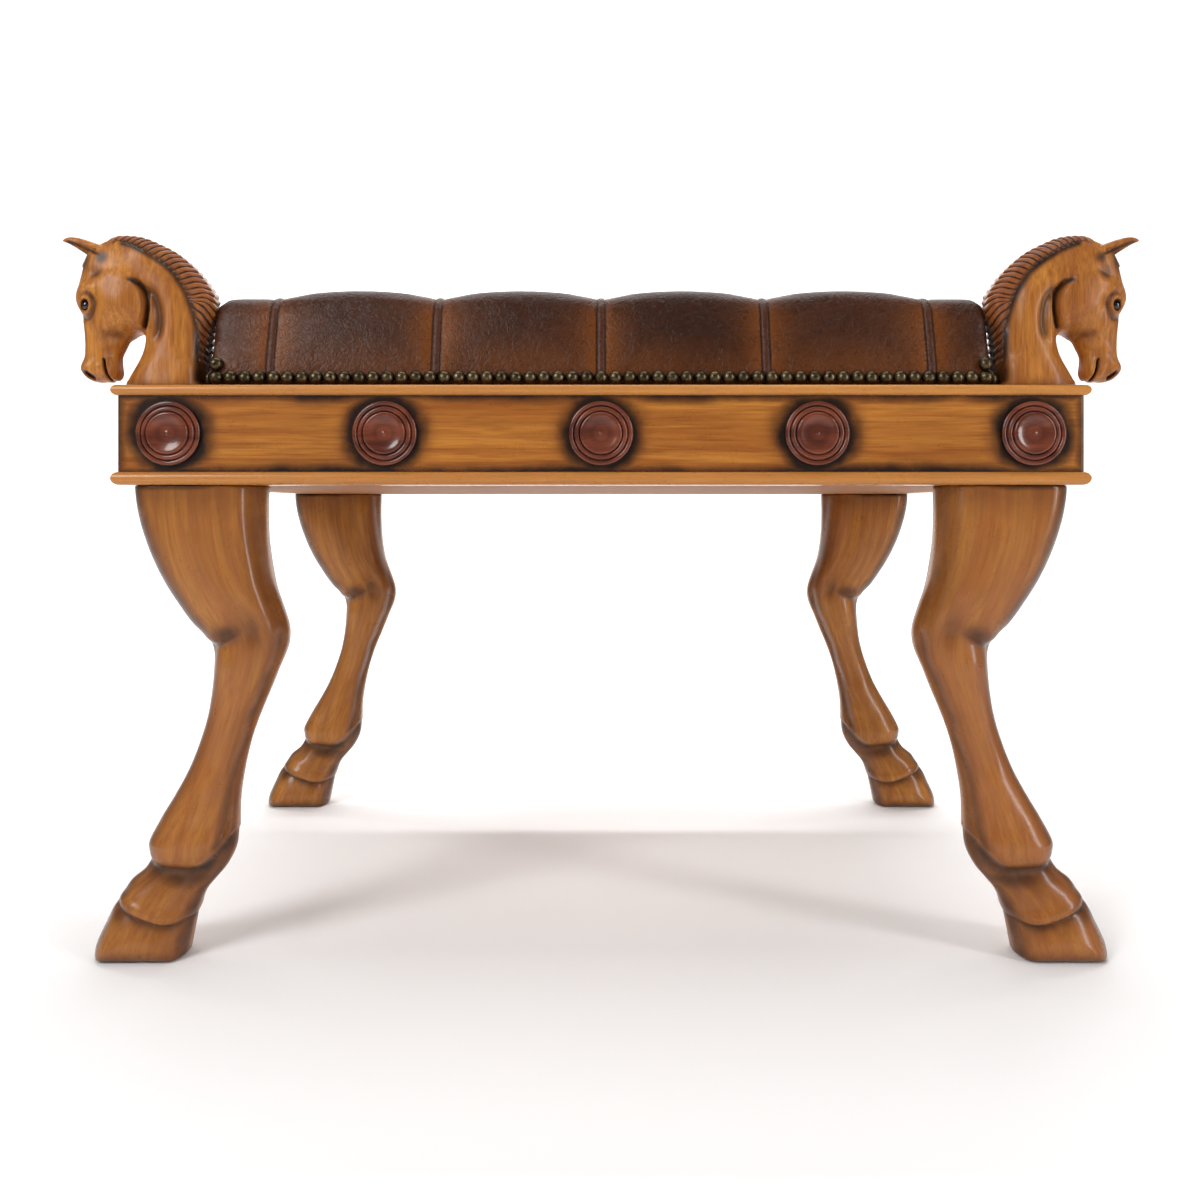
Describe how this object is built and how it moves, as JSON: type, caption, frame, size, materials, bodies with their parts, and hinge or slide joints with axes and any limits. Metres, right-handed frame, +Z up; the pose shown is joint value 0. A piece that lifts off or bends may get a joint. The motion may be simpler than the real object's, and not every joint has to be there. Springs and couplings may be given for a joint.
{
  "type": "upholstered bench",
  "caption": "Leather-topped bench on carved horse legs, with a carved horse head on each corner of its apron frame.",
  "frame": {"origin": "on the floor under the middle of the bench", "axes": "+X along the bench, +Y across it to the back, +Z up"},
  "size_m": [0.8198, 0.5192, 0.5547],
  "materials": {
    "lacquered_wood": "honey-brown lacquer with dark glaze in the recesses, semi-gloss",
    "plain_wood": "unfinished",
    "mahogany": "dark red-brown lacquer, gloss",
    "leather": "dark brown grained hide, semi-gloss",
    "nail_bronze": "antiqued, dark bronze",
    "steel": "zinc plated",
    "eye_glass": "dark polished glass",
    "foam": "upholstery foam"
  },
  "bodies": {
    "root": {"apron_front": "lacquered_wood", "apron_back": "lacquered_wood", "apron_left": "lacquered_wood", "apron_right": "lacquered_wood", "mitre_splines": "plain_wood", "top_moulding_front": "lacquered_wood", "top_moulding_back": "lacquered_wood", "top_moulding_left": "lacquered_wood", "top_moulding_right": "lacquered_wood", "bottom_moulding_front": "lacquered_wood", "bottom_moulding_back": "lacquered_wood", "bottom_moulding_left": "lacquered_wood", "bottom_moulding_right": "lacquered_wood", "deck_board": "plain_wood", "deck_screws": "steel", "bottom_panel": "lacquered_wood", "panel_screws": "steel", "cross_rail_left": "plain_wood", "cross_rail_middle": "plain_wood", "cross_rail_right": "plain_wood", "corner_block_front_left": "plain_wood", "corner_block_front_right": "plain_wood", "corner_block_back_left": "plain_wood", "corner_block_back_right": "plain_wood", "leg_front_left": "lacquered_wood", "leg_front_right": "lacquered_wood", "leg_back_left": "lacquered_wood", "leg_back_right": "lacquered_wood", "leg_bolts": "steel", "leg_washers": "steel", "horse_head_front_left": "lacquered_wood", "horse_head_front_right": "lacquered_wood", "horse_head_back_left": "lacquered_wood", "horse_head_back_right": "lacquered_wood", "glass_eyes": "eye_glass", "head_dowels": "plain_wood", "head_screws": "steel", "roundels_front": "mahogany", "roundels_back": "mahogany", "roundels_left": "mahogany", "roundels_right": "mahogany", "roundel_dowels": "plain_wood", "seat_board": "plain_wood", "seat_screws": "steel", "seat_foam": "foam", "seat_cover": "leather", "seat_welts": "leather", "nails_front": "nail_bronze", "nails_back": "nail_bronze", "nails_left": "nail_bronze", "nails_right": "nail_bronze"}
  },
  "joints": []
}
